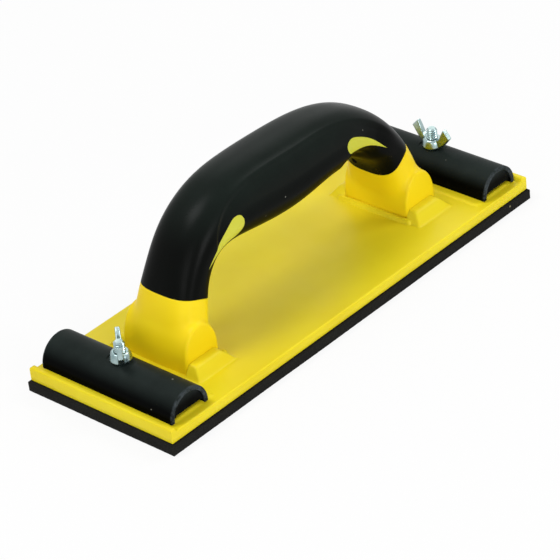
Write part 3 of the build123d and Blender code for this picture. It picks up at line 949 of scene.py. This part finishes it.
def wing_shell(hand, turn, count=24):
    """A wing: rows run from root to tip between its lower and upper edge, columns round its section."""
    lower = smooth_run([(2.0, 0.9), (4.7, 1.3), (8.6, 4.5), (11.45, 7.9)], count)
    upper = smooth_run([(2.0, 4.9), (4.3, 5.4), (6.2, 8.4), (7.9, 11.6)], count)
    half = np.linspace(1.4, 1.05, count)[:, None]
    soft, corner = 0.45, np.linspace(0, np.pi / 2, 5)[None]
    inset = soft * (1 - np.sin(corner)) / np.hypot(*(upper - lower).T)[:, None]
    thin = half - soft * (1 - np.cos(corner))
    share = np.concatenate([1 - inset, 1 - inset[:, ::-1], inset, inset[:, ::-1]], axis=1)
    side = np.concatenate([thin, -thin[:, ::-1], -thin, thin[:, ::-1]], axis=1)
    out = hand * (lower[:, :1] + (upper - lower)[:, :1] * share)
    height = lower[:, 1:] + (upper - lower)[:, 1:] * share
    x, y = out * np.cos(turn) - side * np.sin(turn), out * np.sin(turn) + side * np.cos(turn)
    points = np.stack([x, y, height], axis=-1)
    return grid_shell(np.concatenate([pole(points[:1]), points, pole(points[-1:])]))


nuts = {}
for end, side in ENDS:
    turn = np.radians(parked[end])
    shells = [turned_shell(hub_profile), wing_shell(1, turn), wing_shell(-1, turn)]
    nut = make_piece(
        f"{end}_nut_casting",
        [moved(shell, side * clamp_x, nut_bottom) for shell in shells],
        f"{end}_nut_body", 180, [f"{end}_wing_nut"],
    )
    skin = nut.modifiers.new("one skin", "REMESH")
    skin.mode, skin.voxel_size, skin.use_smooth_shade = "VOXEL", voxel * MM, True
    soften = nut.modifiers.new("tumbled edges", "SMOOTH")
    soften.factor, soften.iterations = 0.5, smoothings
    nuts[end] = nut

# %% [markdown]
# ## Finishes
# Each finish is a tree of nodes on one Principled shader. Patterns read Object coordinates in metres, so a
# noise scale of 1000 has features about a millimetre across. Colour varies slowly, roughness varies faster,
# and a fine bump gives the moulded grain. Specks of sanding dust are small cells of a Voronoi pattern.

# %% Helpers that make finishes


def new_finish(name, colour, roughness, metallic=0.0, specular=0.5):
    """A material with its Principled shader set, and its tree to add to."""
    material = bpy.data.materials.new(name)
    material.use_nodes = True
    tree = material.node_tree
    shader = tree.nodes["Principled BSDF"]
    shader.inputs["Base Color"].default_value = (*colour, 1)
    shader.inputs["Roughness"].default_value = roughness
    shader.inputs["Metallic"].default_value = metallic
    shader.inputs["Specular IOR Level"].default_value = specular
    return material, tree, shader


def add_node(tree, kind, inputs=None, **settings):
    """A node with its settings, and its inputs as values or as links from other nodes' outputs."""
    node = tree.nodes.new(kind)
    for key, value in settings.items():
        setattr(node, key, value)
    for key, value in (inputs or {}).items():
        if isinstance(value, bpy.types.NodeSocket):
            tree.links.new(value, node.inputs[key])
        else:
            node.inputs[key].default_value = value
    return node


# %% [markdown]
# ## Patterns
# A finish is mostly patterns stretched and mixed: noise for clouds of tone and roughness, and cells for dust
# and foam. Each helper adds its nodes to the tree and gives back the socket to read.

# %% Patterns for finishes


def object_place(tree):
    """The Object coordinates that every pattern here reads."""
    return add_node(tree, "ShaderNodeTexCoord").outputs["Object"]


def noise(tree, scale, detail, roughness=0.5):
    """A noise value between 0 and 1; more detail adds finer layers, and roughness makes them stronger."""
    inputs = {"Vector": object_place(tree), "Scale": scale, "Detail": detail, "Roughness": roughness}
    return add_node(tree, "ShaderNodeTexNoise", inputs).outputs["Fac"]


def spread(tree, value, low, high, to_low=0.0, to_high=1.0):
    """Stretches a value's range from low..high to to_low..to_high, without going past it."""
    inputs = {"Value": value, "From Min": low, "From Max": high, "To Min": to_low, "To Max": to_high}
    return add_node(tree, "ShaderNodeMapRange", inputs).outputs["Result"]


def mixed(tree, share, *colours):
    """The first colour where share is 0, the second where it is 1. The node's colour sockets are 6 and 7."""
    ends = [c if isinstance(c, bpy.types.NodeSocket) else (*c, 1) for c in colours]
    inputs = {"Factor": share, 6: ends[0], 7: ends[1]}
    return add_node(tree, "ShaderNodeMix", inputs, data_type="RGBA").outputs[2]


def arithmetic(tree, operation, *values):
    """One or two values put through a Math node."""
    return add_node(tree, "ShaderNodeMath", dict(enumerate(values)), operation=operation).outputs[0]


def specks(tree, scale, size, rarity):
    """Dust: a dot in the middle of a few cells. Only cells whose own random value is above rarity get one."""
    cells = add_node(tree, "ShaderNodeTexVoronoi", {"Vector": object_place(tree), "Scale": scale})
    dot = spread(tree, cells.outputs["Distance"], size, size * 0.6)
    red = add_node(tree, "ShaderNodeSeparateColor", {"Color": cells.outputs["Color"]}).outputs["Red"]
    return arithmetic(tree, "MULTIPLY", dot, spread(tree, red, rarity, rarity + 0.01))


def dress(tree, shader, colour, mottle, rough, grain, strength, depth):
    """Feeds the shader its colour, a mottled roughness and a raised grain of so many metres."""
    tree.links.new(colour, shader.inputs["Base Color"])
    tree.links.new(spread(tree, mottle, 0.3, 0.7, *rough), shader.inputs["Roughness"])
    bump = add_node(tree, "ShaderNodeBump", {"Height": grain, "Strength": strength, "Distance": depth})
    tree.links.new(bump.outputs["Normal"], shader.inputs["Normal"])


# %% [markdown]
# ## Yellow plastic
# Plate, legs and teardrops are the same kind of moulded plastic, each a little different in tone. Light goes
# a short way into such plastic before it comes back, red and green deeper than blue, so a weak subsurface
# is set. Slow clouds of tone keep it from looking like paint.

# %% Yellow moulded plastic


def yellow_finish(name, deep, light):
    """Moulded yellow: slow clouds of tone, a faint grain and scarce dust."""
    material, tree, shader = new_finish(name, deep, 0.38, specular=0.17)
    tone = mixed(tree, spread(tree, noise(tree, 22, 3), 0.35, 0.65), deep, light)
    colour_with_specks = mixed(tree, specks(tree, 190, 0.12, 0.985), tone, (0.9, 0.88, 0.62))
    dress(tree, shader, colour_with_specks, noise(tree, 60, 4), (0.33, 0.45), noise(tree, 1400, 3), 0.12, 0.00008)
    shader.inputs["Subsurface Weight"].default_value = 0.12
    shader.inputs["Subsurface Radius"].default_value = (1.0, 0.62, 0.08)
    shader.inputs["Subsurface Scale"].default_value = 0.0025
    return material


plate_yellow = yellow_finish("plate yellow", (0.785, 0.625, 0.010), (0.835, 0.69, 0.016))
leg_yellow = yellow_finish("leg yellow", (0.90, 0.655, 0.005), (0.94, 0.71, 0.009))
land_yellow = yellow_finish("teardrop yellow", (0.53, 0.535, 0.035), (0.61, 0.60, 0.055))

# %% [markdown]
# ## Black rubber and plastic
# The grip and the clamps differ more in shine than in colour. Both are painted paler where they face up, as
# light falls there, laid on by height and broken up by noise. The clamps are also paler along their end rims.

# %% Black grip and clamps


def painted_top_light(tree, low, high):
    """Share of painted light that pales the top: none at a low height in mm, most at a high one, in patches.
    """
    height = add_node(tree, "ShaderNodeSeparateXYZ", {"Vector": object_place(tree)}).outputs["Z"]
    inputs = {"Value": height, "From Min": low * MM, "From Max": high * MM}
    rise = add_node(tree, "ShaderNodeMapRange", inputs)
    rise.interpolation_type = "SMOOTHSTEP"
    patches = spread(tree, noise(tree, 48, 5, 0.6), 0.25, 0.65, 0.6, 1.0)
    return arithmetic(tree, "MULTIPLY", rise.outputs["Result"], patches)


def grip_finish():
    """Soft-touch overmould: near black with a cool cast, satin, painted light that pales the top, and scarce
    dust.
    """
    material, tree, shader = new_finish("soft black grip", (0.005, 0.006, 0.0055), 0.36, specular=0.04)
    # Painted light: the grip pales and turns greener towards its top, where the palm catches the light.
    tone = mixed(tree, painted_top_light(tree, 56, 78), (0.0020, 0.0025, 0.0021), (0.0095, 0.0142, 0.0118))
    colour_with_specks = mixed(tree, specks(tree, 330, 0.13, 0.975), tone, (0.15, 0.15, 0.13))
    dress(tree, shader, colour_with_specks, noise(tree, 45, 5, 0.6), (0.26, 0.37), noise(tree, 900, 4), 0.16, 0.00009)
    return material


def clamp_finish():
    """Black plastic, painted paler on its crown and near black low on its sides as light and shade fall,
    paler along its end rims, with sanding dust caught on it.
    """
    material, tree, shader = new_finish("satin black clamp", (0.003, 0.0033, 0.0036), 0.36, specular=0.02)
    # Painted light and shade: near black low on the sides, paler and greener on the crown.
    tone = mixed(tree, painted_top_light(tree, 15, 22), (0.0005, 0.0007, 0.0007), (0.019, 0.0255, 0.0235))
    # Paler along the end rims, through a ragged mask near each end in Y.
    place = add_node(tree, "ShaderNodeSeparateXYZ", {"Vector": object_place(tree)})
    from_middle = arithmetic(tree, "ABSOLUTE", place.outputs["Y"])
    rim_zone = spread(tree, from_middle, clamp_half * MM - 0.0011, clamp_half * MM - 0.0003)
    ragged = spread(tree, noise(tree, 420, 5, 0.7), 0.38, 0.62)
    paler_rims = mixed(tree, arithmetic(tree, "MULTIPLY", rim_zone, ragged), tone, (0.052, 0.062, 0.068))
    colour_with_specks = mixed(tree, specks(tree, 330, 0.15, 0.955), paler_rims, (0.26, 0.26, 0.23))
    dress(tree, shader, colour_with_specks, noise(tree, 70, 5, 0.6), (0.29, 0.42), noise(tree, 1100, 4), 0.14, 0.00008)
    return material


black_grip, black_clamp = grip_finish(), clamp_finish()

# %% [markdown]
# ## Black foam and film
# Foam is a mass of little bubbles, and where it is cut they show as pits. A Voronoi pattern makes cells of
# that size: its distance sinks the pits and paints shade into them, lighter on the walls between. The film's
# thin edge gets the same finish.

# %% Foam and film


def foam_finish(name, colour):
    """Closed-cell foam: flat black, cells a third of a millimetre across that show as pits with painted
    shade, and dust.
    """
    material, tree, shader = new_finish(name, colour, 0.85, specular=0.08)
    cells = add_node(tree, "ShaderNodeTexVoronoi", {"Vector": object_place(tree), "Scale": 2600.0})
    # Painted shade: darker in the pits, lighter on the walls between them.
    shade = spread(tree, cells.outputs["Distance"], 0.1, 0.7)
    tone = mixed(tree, shade, *(tuple(c * times for c in colour) for times in (0.6, 1.9)))
    colour_with_specks = mixed(tree, specks(tree, 300, 0.2, 0.965), tone, (0.30, 0.27, 0.14))
    dress(tree, shader, colour_with_specks, noise(tree, 160, 3), (0.78, 0.92), cells.outputs["Distance"], 0.6, 0.00016)
    return material


black_foam = foam_finish("black foam", (0.008, 0.008, 0.007))
black_film = foam_finish("black film", (0.006, 0.006, 0.0055))

# %% [markdown]
# ## Zinc-plated steel
# Bolts and nuts are plated with bright zinc. It is a metal, so its colour is the colour of what it mirrors:
# a bluish silver, cloudy where the plating's last bath took unevenly. A strong, broad bump gives the soft
# dents of tumbled parts.

# %% Zinc-plated steel


def zinc_finish(name, bright, dull):
    """Bright zinc plate: a bluish silver with cloudy patches and soft dents."""
    material, tree, shader = new_finish(name, bright, 0.26, metallic=1.0)
    tone = mixed(tree, spread(tree, noise(tree, 260, 4, 0.6), 0.35, 0.65), bright, dull)
    dress(tree, shader, tone, noise(tree, 500, 4, 0.6), (0.2, 0.34), noise(tree, 380, 2), 0.35, 0.00016)
    return material


zinc = zinc_finish("zinc plate", (0.42, 0.53, 0.52), (0.24, 0.34, 0.35))
screw_steel = zinc_finish("screw zinc", (0.62, 0.66, 0.66), (0.45, 0.48, 0.48))

# %% [markdown]
# ## Putting the finishes on
# Every piece gets one material in place of any it had. The film and the screws are still the plain CAD
# shapes, since a thin black edge and four heads under the plate need no more than a finish.

# %% Put the finishes on
finishes = [
    (black_grip, [grip]), (plate_yellow, [plate]), (land_yellow, lands), (leg_yellow, legs.values()),
    (black_clamp, clamps.values()), (zinc, [*bolts.values(), *nuts.values()]),
    (black_foam, [foam]), (black_film, [nodes["pad_adhesive"]]), (screw_steel, [nodes["handle_screws"]]),
]
for material, pieces in finishes:
    for piece in pieces:
        piece.data.materials.clear()
        piece.data.materials.append(material)
print(sum(len(pieces) for material, pieces in finishes), "pieces finished")

# %% [markdown]
# ## Floor and world
# A white studio: the floor and the world look plain white to the camera and in reflections, and they light
# the block only gently. The floor keeps a small share of its own shading, so a soft shadow shows on it.

# %% Floor and world


def white_mix(tree, rest, kind, white_share):
    """For a white_share, white where the camera or a reflection sees it; the given shader for other rays."""
    path = add_node(tree, "ShaderNodeLightPath")
    seen = path.outputs["Is Camera Ray"]
    for ray in ("Is Glossy Ray", "Is Transmission Ray"):
        seen = arithmetic(tree, "MAXIMUM", seen, path.outputs[ray])
    white = add_node(tree, kind, {"Color": (1, 1, 1, 1), "Strength": 1.0}).outputs[0]
    share = arithmetic(tree, "MULTIPLY", seen, white_share)
    return add_node(tree, "ShaderNodeMixShader", {0: share, 1: rest, 2: white}).outputs[0]


floor_mesh = bpy.data.meshes.new("floor")
floor_mesh.from_pydata([(-4, -4, 0), (4, -4, 0), (4, 4, 0), (-4, 4, 0)], [], [(0, 1, 2, 3)])
floor = bpy.data.objects.new("floor", floor_mesh)
bpy.context.scene.collection.objects.link(floor)
floor_material, floor_tree, floor_shader = new_finish("white floor", (0.88, 0.88, 0.88), 0.9, specular=0.0)
floor_out = floor_tree.nodes["Material Output"].inputs["Surface"]
floor_mix = white_mix(floor_tree, floor_shader.outputs[0], "ShaderNodeEmission", 0.88)
floor_tree.links.new(floor_mix, floor_out)
floor_mesh.materials.append(floor_material)

world = bpy.data.worlds.new("studio")
bpy.context.scene.world = world
world.use_nodes = True
sky = world.node_tree.nodes["Background"]
sky.inputs["Color"].default_value = (1, 1, 1, 1)
sky.inputs["Strength"].default_value = 0.33
world_out = world.node_tree.nodes["World Output"].inputs["Surface"]
world.node_tree.links.new(white_mix(world.node_tree, sky.outputs[0], "ShaderNodeBackground", 1.0), world_out)

# %% [markdown]
# ## Lamps
# Five square panels stand round the block as in a product studio. The first is high on the left and leaves
# a highlight on the grip's shoulder, the second models the near flank, and the others fill. Power is worked
# out from the light a lamp should give, so one can be moved without growing brighter or dimmer.

# %% Lamps


def placed(name, data, *axes_and_place):
    """A lamp or camera in the scene, set by its right, up and back directions and its place."""
    holder = bpy.data.objects.new(name, data)
    bpy.context.scene.collection.objects.link(holder)
    holder.matrix_world = Matrix([*np.stack(axes_and_place, axis=1).tolist(), [0, 0, 0, 1]])
    return holder


def soft_lamp(name, place, size, share):
    """A square lamp aimed at the block, with power that grows with the square of its distance."""
    lamp = bpy.data.lights.new(name, "AREA")
    lamp.size = size
    place = np.array(place, float)
    away = place - lamp_aim
    lamp.energy = share * np.pi**2 * float(away @ away)
    back = away / np.linalg.norm(away)
    right = np.cross([0, 0, 1], back)
    right /= np.linalg.norm(right)
    placed(name, lamp, right, np.cross(back, right), back, place)


lamp_aim = np.array([0, 0, 0.03])
soft_lamp("overhead left", (-0.48, 0.36, 1.24), 0.5, 0.43)
soft_lamp("right key", (0.75, -0.44, 0.95), 0.42, 0.26)
soft_lamp("left softbox", (-1.15, -0.5, 0.45), 0.5, 0.17)
soft_lamp("front softbox", (-0.3, -1.25, 0.38), 0.5, 0.33)
soft_lamp("back softbox", (0.8, 0.8, 0.75), 0.9, 0.1)

# %% [markdown]
# ## Camera
# The camera looks from the front left corner, about 33 degrees down, through a long lens from over a metre
# away, so the block's sides stay nearly parallel. Its level axis and its rise are turned together by a small
# roll, as in a hand-held shot.

# %% Camera
azimuth, elevation, roll = np.radians([-45.531, 32.546, -6.1])
level_back = np.array([np.sin(azimuth), -np.cos(azimuth)]) * np.cos(elevation)
back = np.array([*level_back, np.sin(elevation)])
level = np.array([np.cos(azimuth), np.sin(azimuth), 0.0])
rise = np.cross(back, level)
right = level * np.cos(roll) + rise * np.sin(roll)
up = rise * np.cos(roll) - level * np.sin(roll)
target, distance = np.array([-17.67, -12.613, 20.0]) * MM, 1.261303
camera_data = bpy.data.cameras.new("camera")
camera_data.sensor_width, camera_data.lens = 36.0, 191.628
camera_data.clip_end = 20.0
bpy.context.scene.camera = placed("camera", camera_data, right, up, back, target + back * distance)
bpy.context.scene.view_settings.view_transform = "Standard"

# %% [markdown]
# ## At the end
# The view layer is brought up to date, now that the made pieces stand in for the plain ones. The box
# round everything should still match the CAD's box to a tenth of a millimetre.

# %% Bring the scene up to date
bpy.context.view_layer.update()
